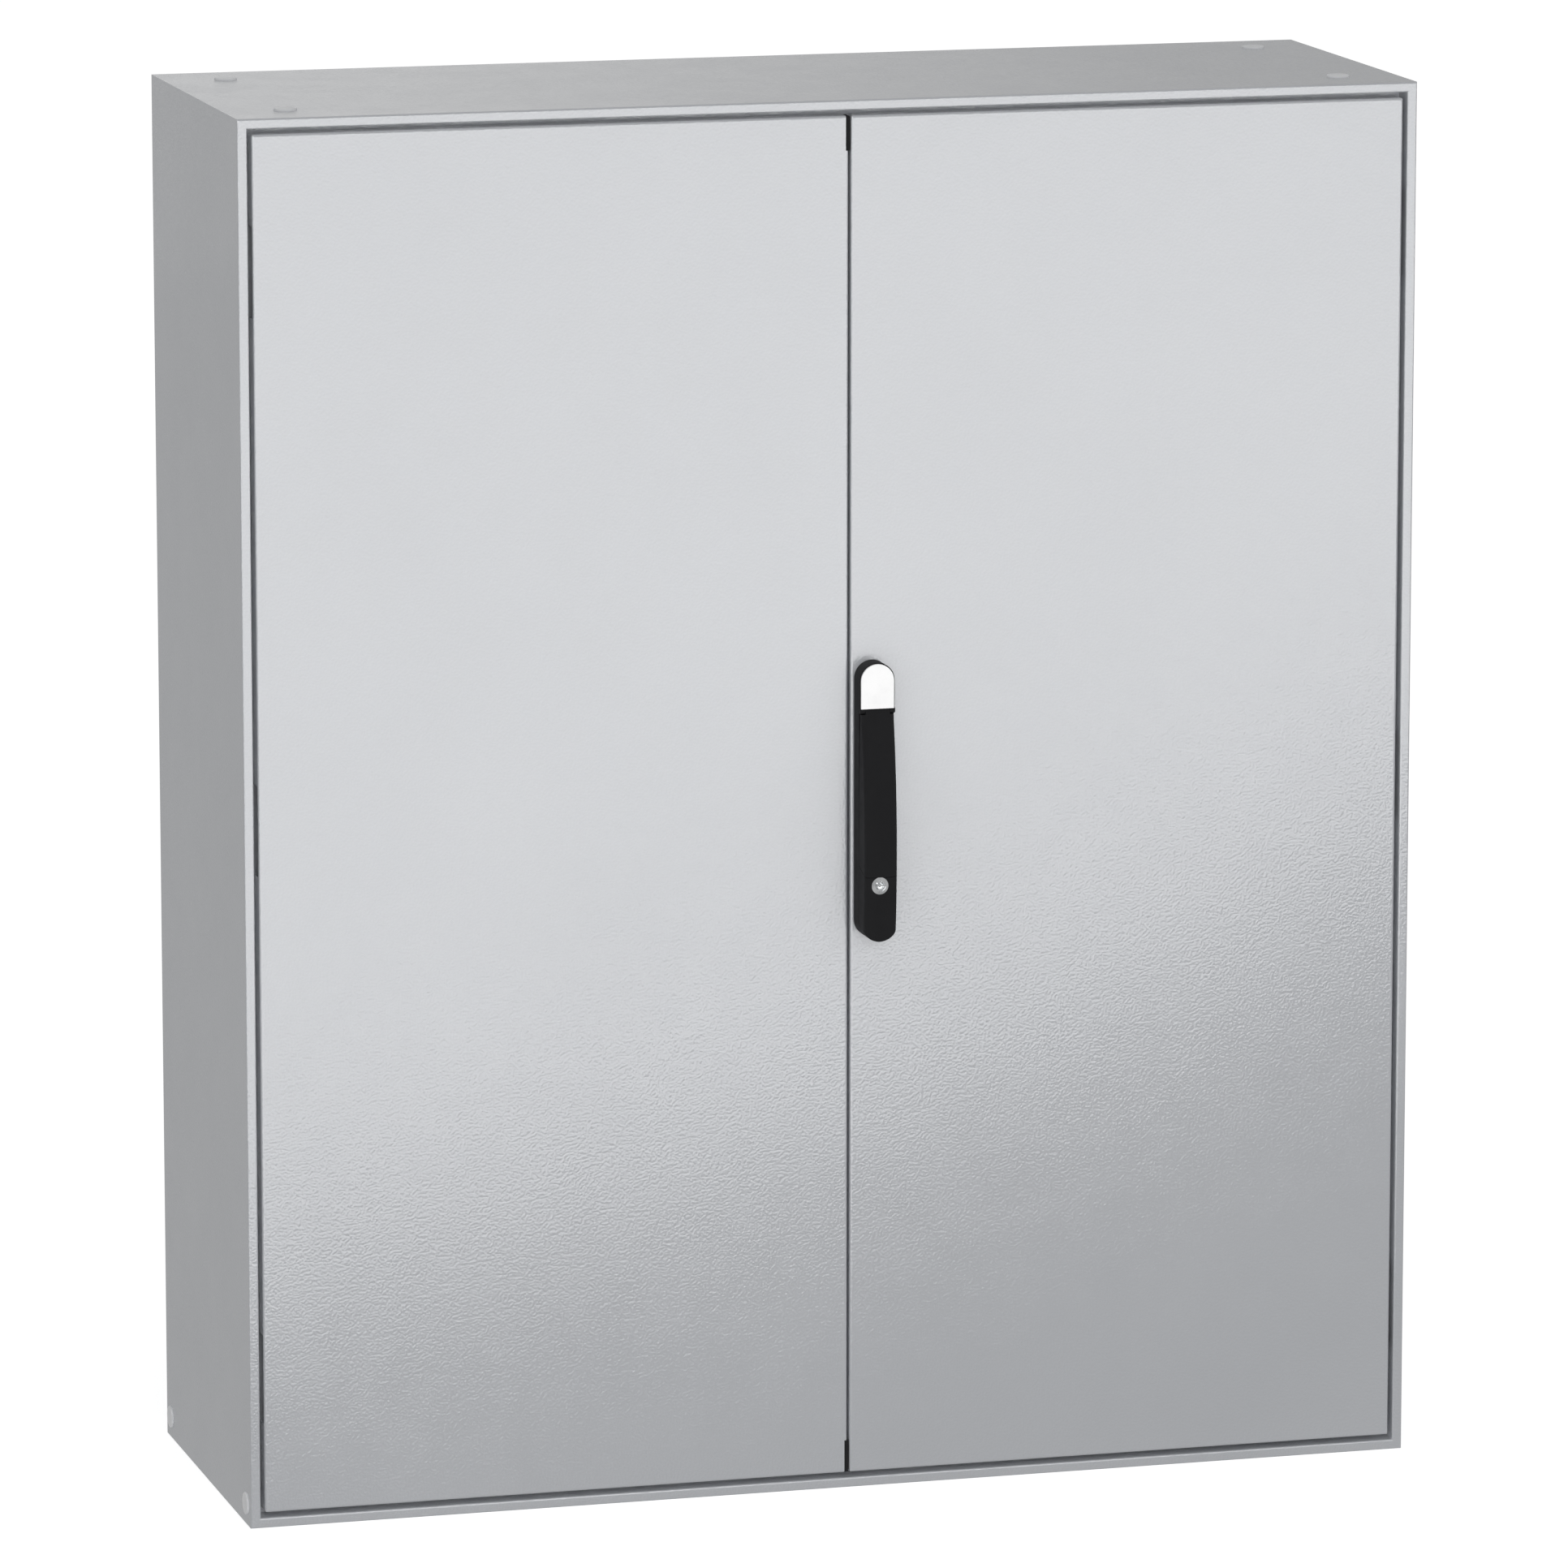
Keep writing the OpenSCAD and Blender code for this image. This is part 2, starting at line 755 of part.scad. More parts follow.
module drive_pinion() {
  mid = rod_y + rod_t / 2;
  color(zinc) difference() {
    union() {
      along_y(mid - rod_t / 2 + 0.4, mid + rod_t / 2 - 0.4) translate([handle_x, spindle_z]) {
        circle(root_r);
        for (i = [0:teeth - 1]) rotate(i * 360 / teeth) polygon(tooth);
      }
      bar_y(handle_x, spindle_z, rod_y - 3.3, rod_y + rod_t + 3, 7);
    }
    spindle_square(rod_y - 5, rod_y + rod_t + 5);
  }
}

module spindle_square(y0, y1) {
  span([handle_x - 4, y0, spindle_z - 4], [handle_x + 4, y1, spindle_z + 4]);
}

// rack teeth from one number to another, on the pitch line x = 0, pointing towards +X
module rack_teeth(first, last) {
  pitch = PI * gear_m;
  half = tooth_share * pitch / 2;
  up = tooth_up * tan(20);
  down = tooth_down * tan(20);
  for (i = [first:last]) translate([0, (i + 0.5) * pitch])
    polygon([[-tooth_down - 0.5, -half - down], [tooth_up, -half + up], [tooth_up, half - up],
             [-tooth_down - 0.5, half + down]]);
}

module upper_lock_rod() {
  x = handle_x - pitch_r - tooth_down;
  color(zinc) difference() {
    union() {
      span([x - rod_w, rod_y, spindle_z - 14], [x, rod_y + rod_t, rod_top]);
      along_y(rod_y, rod_y + rod_t) translate([handle_x - pitch_r, spindle_z]) rack_teeth(-3, 6);
    }
    translate([x - rod_w - 1, rod_y + rod_t, rod_top - 3]) rotate([45, 0, 0]) cube(10);
  }
}

module lower_lock_rod() {
  x = handle_x + pitch_r + tooth_down;
  color(zinc) difference() {
    union() {
      span([x, rod_y, rod_low], [x + rod_w, rod_y + rod_t, spindle_z + 14]);
      along_y(rod_y, rod_y + rod_t) translate([handle_x + pitch_r, spindle_z]) mirror([1, 0])
        rack_teeth(-7, 2);
    }
    translate([x - 1, rod_y + rod_t, rod_low + 3]) rotate([225, 0, 0]) cube(10);
  }
}

module lock_case() {
  x0 = handle_x - case_half;
  x1 = handle_x + case_half;
  y0 = rod_y - 3.5;
  y1 = rod_y + rod_t + 3;
  color(zinc) difference() {
    union() {
      span([x0, y0, case_low], [x1, rod_y - rod_play, case_high]);
      span([x0, rod_y + rod_t + rod_play, case_low], [x1, y1, case_high]);
      for (x = [x0, x1 - 1.2]) span([x, y0, case_low], [x + 1.2, y1, case_high]);
      for (z = case_studs) {
        bar_y(handle_x, z, y0, y1, 5);
        span([handle_x - 5.5, door_back, z - 8], [x1, y0, z + 8]);
      }
    }
    bar_y(handle_x, spindle_z, y0 - 1, y1 + 1, 7.06);
    for (z = case_studs) bar_y(handle_x, z, door_back - 1, y1 + 1, stud_r);
  }
}

// block on a door stud with a slot for one rod, drawn towards the rod's side
module rod_guide(z, side) {
  x0 = side < 0 ? handle_x - pitch_r - tooth_down - rod_w - 1.6 : handle_x - 6;
  x1 = side < 0 ? handle_x + 6 : handle_x + pitch_r + tooth_down + rod_w + 1.6;
  rod_x0 = side < 0 ? handle_x - pitch_r - tooth_down - rod_w : handle_x + pitch_r + tooth_down;
  difference() {
    union() {
      span([x0, rod_y - 3.5, z - 8], [x1, rod_y + rod_t + 3, z + 8]);
      span([handle_x - 5.5, door_back, z - 8], [handle_x + 6, rod_y - 3, z + 8]);
    }
    span([rod_x0 - rod_play, rod_y - rod_play, z - 9],
         [rod_x0 + rod_w + rod_play, rod_y + rod_t + rod_play, z + 9]);
    bar_y(handle_x, z, door_back - 1, rod_y + 20, stud_r);
  }
}

module upper_rod_guides() {
  color(black) for (z = upper_guides) rod_guide(z, -1);
}

module lower_rod_guides() {
  color(black) for (z = lower_guides) rod_guide(z, 1);
}

module lock_nuts() {
  color(steel) for (z = concat(case_studs, upper_guides, lower_guides))
    nut_y(handle_x, z, rod_y + rod_t + 3, 5, 10, stud_r);
}

// ---- handle ----

// stadium outline of the handle in X and Z, narrower by inset
module handle_outline(inset) {
  r = arc_r - inset;
  rect([handle_x - r, arc_low], [handle_x + r, spindle_z]);
  for (z = [arc_low, spindle_z]) translate([handle_x, z]) circle(r);
}

// bowed front body of the handle, with drafted sides and round front edges
module handle_bow() {
  w = arc_r - 1.2;
  intersection() {
    translate([handle_x, door_y - grip_depth + bow_r, bow_z]) rotate([0, 90, 0])
      rotate_extrude($fn = 720) {
        polygon([[bow_r - 25, -arc_r - 0.4], [bow_r - 3, -w],
                 [bow_r - 3, w], [bow_r - 25, arc_r + 0.4]]);
        rect([bow_r - 4, -w + 3], [bow_r, w - 3]);
        for (s = [-1, 1]) translate([bow_r - 3, s * (w - 3)]) circle(3);
      }
    along_y(door_y - 50, door_y - base_depth + 0.01) handle_outline(0);
  }
}

// cone about the spindle axis that parts the lever from the lock block
module tip_cone(grow) {
  d0 = 10;
  d1 = 45;
  translate([handle_x, door_y - d0, spindle_z]) rotate([90, 0, 0])
    cylinder(h = d1 - d0, r1 = tip_r + (d0 - 20) * tip_slope + grow,
             r2 = tip_r + (d1 - 20) * tip_slope + grow, $fn = 360);
}

module handle_base() {
  color(black) difference() {
    union() {
      along_y(door_y - base_depth, door_y) handle_outline(0);
      difference() {
        handle_bow();
        tip_cone(0.6);
        span([handle_x - 40, door_y - 60, spindle_z], [handle_x + 40, door_y, spindle_z + 60]);
      }
    }
    bar_y(handle_x, spindle_z, door_y - 20, door_y - 3, 12.06);
    bar_y(handle_x, spindle_z, door_y - 4, door_y + 1, 7.06);
    for (z = base_screws) bar_y(handle_x, z, door_y - 11, door_y + 1, pin_r);
    bar_y(lock_x, lock_z, door_y - 50, door_y - 12, 8.6);
    bar_y(lock_x, lock_z, door_y - 12.5, door_y - 5, 12);
  }
}

module handle_screws() {
  color(steel) for (z = base_screws) difference() {
    union() {
      bar_y(handle_x, z, door_y - 10, door_back, pin_r);
      bar_y(handle_x, z, door_back, door_back + 2.6, 4.6);
    }
    for (a = [0, 90]) translate([handle_x, door_back + 2.6, z]) rotate([0, a, 0])
      cube([4.6, 2.6, 0.8], true);
  }
}

// outline of the round top, down to the lever's hinge
module hub_outline(inset) {
  r = arc_r - inset;
  rect([handle_x - r, cap_low], [handle_x + r, spindle_z]);
  translate([handle_x, spindle_z]) circle(r);
}

module handle_hub() {
  depth0 = base_depth + 0.5;
  color(black) difference() {
    union() {
      along_y(door_y - 20.4, door_y - depth0) hub_outline(0);
      bar_y(handle_x, spindle_z, door_y - depth0 - 0.5, door_y - 3.5, 12);
      bar_y(handle_x, spindle_z, door_y - 4, door_back + 3, 7);
      spindle_square(door_y, rod_y + rod_t + 3);
      for (s = [-1, 1]) intersection() {
        union() {
          bar_x(door_y - pivot_depth, pivot_z, handle_x - 20, handle_x + 20, nose_r);
          span([handle_x - 20, door_y - pivot_depth - nose_r, pivot_z],
               [handle_x + 20, door_y - pivot_depth + nose_r, cap_low + 0.5]);
        }
        span([handle_x + (s > 0 ? 12.8 : -arc_r), door_y - 30, pivot_z - 5],
             [handle_x + (s > 0 ? arc_r : -12.8), door_y, cap_low + 0.01]);
      }
    }
    bar_x(door_y - pivot_depth, pivot_z, handle_x - 20, handle_x + 20, 1);
  }
}

module handle_cap() {
  color([0.95, 0.95, 0.95]) along_y(door_y - 22.4, door_y - 20.4) hub_outline(1.2);
}

module lever_pin() {
  color(steel) bar_x(door_y - pivot_depth, pivot_z, handle_x - arc_r + 0.4, handle_x + arc_r - 0.4, 1);
}

module handle_lever() {
  y = door_y - pivot_depth;
  low_z = spindle_z - tip_r - 20;
  back = door_y - base_depth - 0.5;
  color(black) difference() {
    union() {
      intersection() {
        handle_bow();
        tip_cone(0);
        union() {
          span([handle_x - 20, door_y - 60, low_z], [handle_x + 20, back, pivot_z - 2.9]);
          span([handle_x - 12.4, door_y - 60, low_z], [handle_x + 12.4, back, pivot_z]);
        }
      }
      bar_x(y, pivot_z, handle_x - 12.4, handle_x + 12.4, nose_r);
    }
    bar_x(y, pivot_z, handle_x - 20, handle_x + 20, 1.05);
    span([handle_x - 12.5, door_y - 25, low_z + 42], [handle_x + 12.5, door_y - 10, pivot_z - 28]);
  }
}

// ---- lock in the handle ----

module lock_bezel() {
  color(steel) difference() {
    bar_y(lock_x, lock_z, door_y - lock_face, door_y - 12.5, 8.6);
    bar_y(lock_x, lock_z, door_y - 50, door_y - 5, 6.06);
  }
}

module lock_core() {
  face = door_y - lock_face + 0.8;
  color(steel) difference() {
    bar_y(lock_x, lock_z, face, door_y - 12.5, 6);
    difference() {
      bar_y(lock_x, lock_z, face - 1, face + 7, 4.6);
      bar_y(lock_x, lock_z, face - 2, face + 8, 1.5);
      span([lock_x - 3.6, face - 2, lock_z - 0.8], [lock_x + 3.6, face + 8, lock_z + 0.8]);
    }
  }
}

module lock_cam() {
  color(zinc) {
    bar_y(lock_x, lock_z, door_y - 12.5, door_y - 6, 6);
    span([lock_x - 3, door_y - 11, lock_z - 1], [lock_x + 3, door_y - 8, lock_z + 11]);
  }
}

enclosure_body();
rear_panel();
rear_gasket();
rear_panel_screws();
roof_plugs();
side_plugs();
mounting_plate();
plate_brackets();
plate_screws();
plate_nuts();
gland_plate_left();
gland_plate_right();
gland_gaskets();
gland_screws();
earth_nuts();
hinge_brackets_left();
hinge_brackets_right();
hinge_pins_left();
hinge_pins_right();
hinge_screws();
left_door_panel();
left_door_gasket();
left_door_stiffeners();
left_door_hinge_lugs();
left_door_edge_caps();
left_door_earth_nut();
bolt_brackets();
top_slide_bolt();
bottom_slide_bolt();
right_door_panel();
right_door_gasket();
right_door_stiffeners();
right_door_hinge_lugs();
right_door_earth_nut();
handle_base();
handle_screws();
lock_case();
upper_rod_guides();
lower_rod_guides();
lock_nuts();
lock_bezel();
upper_lock_rod();
lower_lock_rod();
handle_hub();
handle_cap();
drive_pinion();
lever_pin();
handle_lever();
lock_core();
lock_cam();
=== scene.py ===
import math
import random
import bmesh
import bpy
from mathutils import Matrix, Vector


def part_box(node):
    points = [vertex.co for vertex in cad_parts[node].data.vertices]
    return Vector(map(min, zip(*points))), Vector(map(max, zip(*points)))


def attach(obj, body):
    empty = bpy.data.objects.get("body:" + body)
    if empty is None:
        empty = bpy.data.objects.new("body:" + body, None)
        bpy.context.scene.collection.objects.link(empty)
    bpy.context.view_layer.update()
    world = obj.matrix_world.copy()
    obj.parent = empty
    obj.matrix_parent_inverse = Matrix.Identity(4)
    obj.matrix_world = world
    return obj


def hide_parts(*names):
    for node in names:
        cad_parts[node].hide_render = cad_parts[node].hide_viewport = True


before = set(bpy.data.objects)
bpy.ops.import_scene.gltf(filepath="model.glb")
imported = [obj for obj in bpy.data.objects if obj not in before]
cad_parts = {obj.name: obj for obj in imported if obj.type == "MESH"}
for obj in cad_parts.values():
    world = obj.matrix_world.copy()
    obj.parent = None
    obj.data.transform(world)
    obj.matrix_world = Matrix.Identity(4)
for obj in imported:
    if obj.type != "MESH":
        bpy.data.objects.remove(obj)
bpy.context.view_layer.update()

print("frame loaded:", len(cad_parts), "nodes")


# a node socket that can be used in sums
class Value:
    def __init__(self, wires, socket):
        self.wires = wires
        self.socket = socket

    def sum(self, operation, first, second):
        return self.wires.add("ShaderNodeMath", {"operation": operation}, {0: first, 1: second})

    def __add__(self, other):
        return self.sum("ADD", self, other)

    def __sub__(self, other):
        return self.sum("SUBTRACT", self, other)

    def __mul__(self, other):
        return self.sum("MULTIPLY", self, other)

    def __radd__(self, other):
        return self.sum("ADD", other, self)

    def __rsub__(self, other):
        return self.sum("SUBTRACT", other, self)


# one node tree, with the nodes set out in rows as they are made
class Wires:
    def __init__(self, tree):
        self.tree = tree
        self.count = 0
        self.inRow = 12
        tree.nodes.clear()

    def plug(self, socket, value):
        if isinstance(value, Value):
            self.tree.links.new(value.socket, socket)
        elif socket.type == "RGBA" and len(value) == 3:
            socket.default_value = (*value, 1)
        else:
            socket.default_value = value

    def make(self, kind, settings, inputs):
        node = self.tree.nodes.new(kind)
        node.location = (180 * (self.count % self.inRow), -220 * (self.count // self.inRow))
        self.count += 1
        for name, value in settings.items():
            setattr(node, name, value)
        for key, value in inputs.items():
            self.plug(node.inputs[key], value)
        return node

    def add(self, kind, settings=None, inputs=None, output=0):
        return Value(self, self.make(kind, settings or {}, inputs or {}).outputs[output])

    def mixColour(self, factor, first, second):
        return self.add("ShaderNodeMix", {"data_type": "RGBA"}, {0: factor, 6: first, 7: second}, 2)

    # where the surface is in the object, in metres
    def place(self, stretch=(1, 1, 1)):
        spot = self.add("ShaderNodeTexCoord", output="Object")
        if stretch == (1, 1, 1):
            return spot
        return self.add("ShaderNodeVectorMath", {"operation": "MULTIPLY"}, {0: spot, 1: stretch})

    def noise(self, spot, perMetre, detail=2.0, rough=0.5):
        return self.add("ShaderNodeTexNoise", {"noise_dimensions": "3D"},
                        {"Vector": spot, "Scale": perMetre, "Detail": detail, "Roughness": rough})

    # spreads the middle of a value over 0 to 1
    def ease(self, value, low, high):
        return self.add("ShaderNodeMapRange", {"interpolation_type": "SMOOTHSTEP"},
                        {0: value, 1: low, 2: high})

    def bump(self, height, metres, strength=1.0):
        return self.add("ShaderNodeBump", {}, {"Height": height, "Distance": metres, "Strength": strength})

    # how close a convex edge is, 0 on open faces and 1 on the edge
    def edge(self, radius, sharp=0.35):
        face = self.add("ShaderNodeNewGeometry", output="Normal")
        soft = self.add("ShaderNodeBevel", {"samples": 4}, {"Radius": radius})
        turn = self.add("ShaderNodeVectorMath", {"operation": "DOT_PRODUCT"}, {0: face, 1: soft}, "Value")
        return self.ease(1 - turn, 0.0, sharp)


# a material with its even values set on the shader's own sockets
def newMaterial(name, fixed):
    material = bpy.data.materials.new(name)
    material.use_nodes = True
    wires = Wires(material.node_tree)
    shader = wires.make("ShaderNodeBsdfPrincipled", {}, {})
    out = wires.make("ShaderNodeOutputMaterial", {}, {})
    material.node_tree.links.new(shader.outputs[0], out.inputs[0])
    for key, value in fixed.items():
        wires.plug(shader.inputs[key], value)
    return material, wires, shader


def finishOff(wires, shader, colour, roughness, normal):
    for key, value in {"Base Color": colour, "Roughness": roughness, "Normal": normal}.items():
        wires.plug(shader.inputs[key], value)


# textured polyester powder on sheet steel
powder = {
    "colour": (0.645, 0.661, 0.690),
    "dark": (0.615, 0.631, 0.660),
    "roughness": 0.19,
    "peelPerMetre": 400,     # ripples of the coarse orange peel
    "peelDetail": 0.5,
    "peelHeight": 0.00027,
    "grainPerMetre": 900,    # fine grain on top of it
    "grainShare": 0.03,      # of the height
    "paintedRippleShade": 0.2,             # painted shade on the flanks of the ripples that face up
    # how dark the painted shade on the ripple flanks goes, as a share of the dark colour
    "paintedRippleShadeTone": 0.75,
    "paintedRippleShadeStep": (0.0, 0.0, 0.0008),    # how far above a spot its ripple is compared, to find the slope for the painted shade
    "broadPerMetre": 3.2,    # slow change of colour over a panel
    "cloudPerMetre": 24,
    "edgeRadius": 0.0012,
    # on the paint, convex edges and folds are lightened: a painted highlight along the edges
    "edgeHighlightAndWear": 0.6,
    "edgeHighlightLift": 1.3,
}


def powderCoat(name, tint=1.0, roughness=None):
    p = powder
    rough = roughness or p["roughness"]
    material, wires, shader = newMaterial(name, {"Specular IOR Level": 0.5})
    spot = wires.place()
    peel = wires.noise(spot, p["peelPerMetre"], p["peelDetail"])
    grain = wires.noise(spot, p["grainPerMetre"], 3.0, 0.6)
    broad = wires.noise(spot, p["broadPerMetre"], 3.0, 0.6)
    cloud = wires.noise(spot, p["cloudPerMetre"], 4.0, 0.65)
    light = [c * tint for c in p["colour"]]
    dark = [c * tint for c in p["dark"]]
    colour = wires.mixColour(wires.ease(broad * 0.7 + cloud * 0.3, 0.3, 0.7), light, dark)
    edge = wires.edge(p["edgeRadius"])
    # painted highlight: convex edges mixed towards a lighter copy of the paint colour
    colour = wires.mixColour(edge * p["edgeHighlightAndWear"], colour, [c * p["edgeHighlightLift"] for c in light])
    # painted shade: the colour darkens on the flanks of ripples that face up, following the ripple's slope
    above = wires.add("ShaderNodeVectorMath", {"operation": "ADD"}, {0: spot, 1: p["paintedRippleShadeStep"]})
    paintedShadeSlope = peel - wires.noise(above, p["peelPerMetre"], p["peelDetail"])
    colour = wires.mixColour(wires.ease(paintedShadeSlope, -0.3, 0.3) * p["paintedRippleShade"], colour,
                             [c * p["paintedRippleShadeTone"] for c in dark])
    shine = rough - 0.03 + wires.ease(cloud, 0.3, 0.7) * 0.05 + grain * 0.03
    height = peel * (1 - p["grainShare"]) + grain * p["grainShare"]
    finishOff(wires, shader, colour, shine, wires.bump(height, p["peelHeight"]))
    return material


# hot-dip galvanised sheet with its crystals
zincSheet = {
    "light": (0.62, 0.64, 0.66),
    "dark": (0.43, 0.45, 0.48),
    "roughness": 0.42,
    "crystalsPerMetre": 95,
    "crystalWarp": (0.012, 0.012, 0.012),
    "rollStreaks": (900, 900, 12),     # per metre, long in the sheet's height
    "relief": 0.00003,
}


def galvanised(name):
    p = zincSheet
    material, wires, shader = newMaterial(name, {"Metallic": 0.9})
    spot = wires.place()
    warp = wires.add("ShaderNodeTexNoise", {}, {"Vector": spot, "Scale": 60, "Detail": 2.0}, "Color")
    bent = wires.add("ShaderNodeVectorMath", {"operation": "MULTIPLY_ADD"},
                     {0: warp, 1: p["crystalWarp"], 2: spot})
    cell = wires.add("ShaderNodeTexVoronoi", {"feature": "F1"},
                     {"Vector": bent, "Scale": p["crystalsPerMetre"]}, "Color")
    shade = wires.add("ShaderNodeSeparateColor", {}, {0: cell})
    streak = wires.noise(wires.place(p["rollStreaks"]), 1.0, 3.0, 0.6)
    colour = wires.mixColour(wires.ease(shade * 0.75 + streak * 0.25, 0.1, 0.9), p["dark"], p["light"])
    shine = p["roughness"] - 0.08 + shade * 0.14 + streak * 0.05
    height = shade * 0.4 + wires.noise(spot, 700, 2.0) * 0.6
    finishOff(wires, shader, colour, shine, wires.bump(height, p["relief"], 0.5))
    return material


# zinc-plated turned and pressed steel
plating = {
    "light": (0.70, 0.71, 0.72),
    "dark": (0.48, 0.49, 0.50),
    "roughness": 0.27,
    "toolMarks": (250, 3000, 250),     # per metre, fine across the turned faces
    "stainPerMetre": 120,
    "relief": 0.000012,
}


def platedSteel(name, tint=1.0, roughness=None):
    p = plating
    rough = roughness or p["roughness"]
    material, wires, shader = newMaterial(name, {"Metallic": 1.0})
    spot = wires.place()
    turned = wires.noise(wires.place(p["toolMarks"]), 1.0, 3.0, 0.6)
    stain = wires.noise(spot, p["stainPerMetre"], 4.0, 0.6)
    colour = wires.mixColour(wires.ease(stain, 0.35, 0.7), [c * tint for c in p["light"]],
                             [c * tint for c in p["dark"]])
    shine = rough - 0.04 + turned * 0.08 + wires.ease(stain, 0.4, 0.8) * 0.08
    finishOff(wires, shader, colour, shine, wires.bump(turned, p["relief"], 0.6))
    return material


# moulded plastic with a spark-eroded grain
moulding = {
    "smearPerMetre": 35,
    "smearShade": 0.86,
    "edgeRadius": 0.0008,
    # on the plastic, the share of the lighter worn colour at the edges
    "edgeHighlightAndWear": 0.5,
    "relief": 0.00003,
}


def moulded(name, colour, worn, roughness, gloss, grainPerMetre=1500):
    p = moulding
    material, wires, shader = newMaterial(name, {"Specular IOR Level": gloss})
    spot = wires.place()
    grain = wires.noise(spot, grainPerMetre, 2.0, 0.6)
    smear = wires.noise(spot, p["smearPerMetre"], 4.0, 0.65)
    edge = wires.edge(p["edgeRadius"])
    smeared = [c * p["smearShade"] for c in colour]
    base = wires.mixColour(wires.ease(smear, 0.35, 0.75) * 0.5, colour, smeared)
    base = wires.mixColour(edge * p["edgeHighlightAndWear"], base, worn)
    shine = roughness - 0.05 + wires.ease(smear, 0.3, 0.7) * 0.07 + grain * 0.05 - edge * 0.06
    finishOff(wires, shader, base, shine, wires.bump(grain, p["relief"], 0.7))
    return material


# foamed-in-place polyurethane and cut foam strip
foamLook = {
    "colour": (0.016, 0.016, 0.017),
    "skinPerMetre": 260,
    "poresPerMetre": 900,
    "relief": 0.0002,
}


def foamStrip(name):
    p = foamLook
    material, wires, shader = newMaterial(name, {"Specular IOR Level": 0.25})
    spot = wires.place()
    skin = wires.noise(spot, p["skinPerMetre"], 3.0, 0.6)
    pores = wires.add("ShaderNodeTexVoronoi", {"feature": "F1"},
                      {"Vector": spot, "Scale": p["poresPerMetre"]}, "Distance")
    base = wires.mixColour(wires.ease(skin, 0.3, 0.75), p["colour"], [c * 1.5 for c in p["colour"]])
    shine = 0.82 + skin * 0.12
    height = wires.ease(pores, 0.0, 0.5) * 0.5 + skin * 0.5
    finishOff(wires, shader, base, shine, wires.bump(height, p["relief"], 0.7))
    return material


paint = powderCoat("body_powder_coat")
doorPaint = powderCoat("door_powder_coat")
innerPaint = powderCoat("stiffener_powder_coat", 0.97, 0.40)
zinc = galvanised("galvanised_sheet")
plated = platedSteel("zinc_plated_steel")
darkPlated = platedSteel("lock_drive_zinc", 0.85, 0.33)
# colour, colour at the edges, roughness, gloss
blackPlastic = moulded("black_handle_plastic", (0.0205, 0.0205, 0.0222), (0.030, 0.030, 0.032), 0.66, 0.16)
blackNylon = moulded("black_nylon", (0.0205, 0.0205, 0.0220), (0.032, 0.032, 0.034), 0.62, 0.20,
                     grainPerMetre=900)
whitePlastic = moulded("white_cap_plastic", (0.93, 0.93, 0.93), (0.96, 0.96, 0.96), 0.32, 0.5)
palePlastic = moulded("pale_plug_plastic", (0.94, 0.95, 0.965), (0.96, 0.97, 0.98), 0.45, 0.5)
foam = foamStrip("black_foam")
lockMetal = platedSteel("nickel_lock", 1.12, 0.2)
print("finishes made")

finishOf = {
    "enclosure_body": paint, "rear_panel": paint,
    "left_door_panel": doorPaint, "right_door_panel": doorPaint,
    "left_door_stiffeners": innerPaint, "right_door_stiffeners": innerPaint,
    "roof_plugs": palePlastic, "side_plugs": palePlastic,
    "handle_base": blackPlastic, "handle_hub": blackPlastic, "handle_lever": blackPlastic,
    "handle_cap": whitePlastic,
    "left_door_edge_caps": blackNylon, "bolt_brackets": blackNylon,
    "upper_rod_guides": blackNylon, "lower_rod_guides": blackNylon,
    "lock_bezel": lockMetal, "lock_core": lockMetal, "lock_cam": lockMetal,
    "drive_pinion": darkPlated, "lock_case": darkPlated,
    "rear_gasket": foam, "gland_gaskets": foam,
    "left_door_gasket": foam, "right_door_gasket": foam,
}
zincNodes = ["mounting_plate", "plate_brackets", "gland_plate_left", "gland_plate_right",
             "hinge_brackets_left", "hinge_brackets_right", "left_door_hinge_lugs",
             "right_door_hinge_lugs", "upper_lock_rod", "lower_lock_rod"]
for name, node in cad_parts.items():
    finish = finishOf.get(name, zinc if name in zincNodes else plated)
    node.data.materials.clear()
    node.data.materials.append(finish)


# path round a rectangle with round corners: points, their outward directions and the run so far
def ringPath(low, high, radius, step):
    path = []
    cornerParts = 6
    corners = [(high[0], high[1], 0), (low[0], high[1], 90), (low[0], low[1], 180), (high[0], low[1], 270)]
    for x, y, turn in corners:
        x += -radius if turn in (0, 270) else radius
        y += -radius if turn in (0, 90) else radius
        for i in range(cornerParts + 1):
            angle = math.radians(turn + 90 / cornerParts * i)
            out = Vector((math.cos(angle), math.sin(angle)))
            path.append((Vector((x, y)) + out * radius, out))
    full, run = [], 0.0
    for i, (spot, out) in enumerate(path):
        onward, nextOut = path[(i + 1) % len(path)]
        gap = (onward - spot).length
        parts = max(1, int(gap / step))
        for j in range(parts):
            t = j / parts
            full.append((spot.lerp(onward, t), out.lerp(nextOut, t).normalized(), run + gap * t))
        run += gap
    return full, run


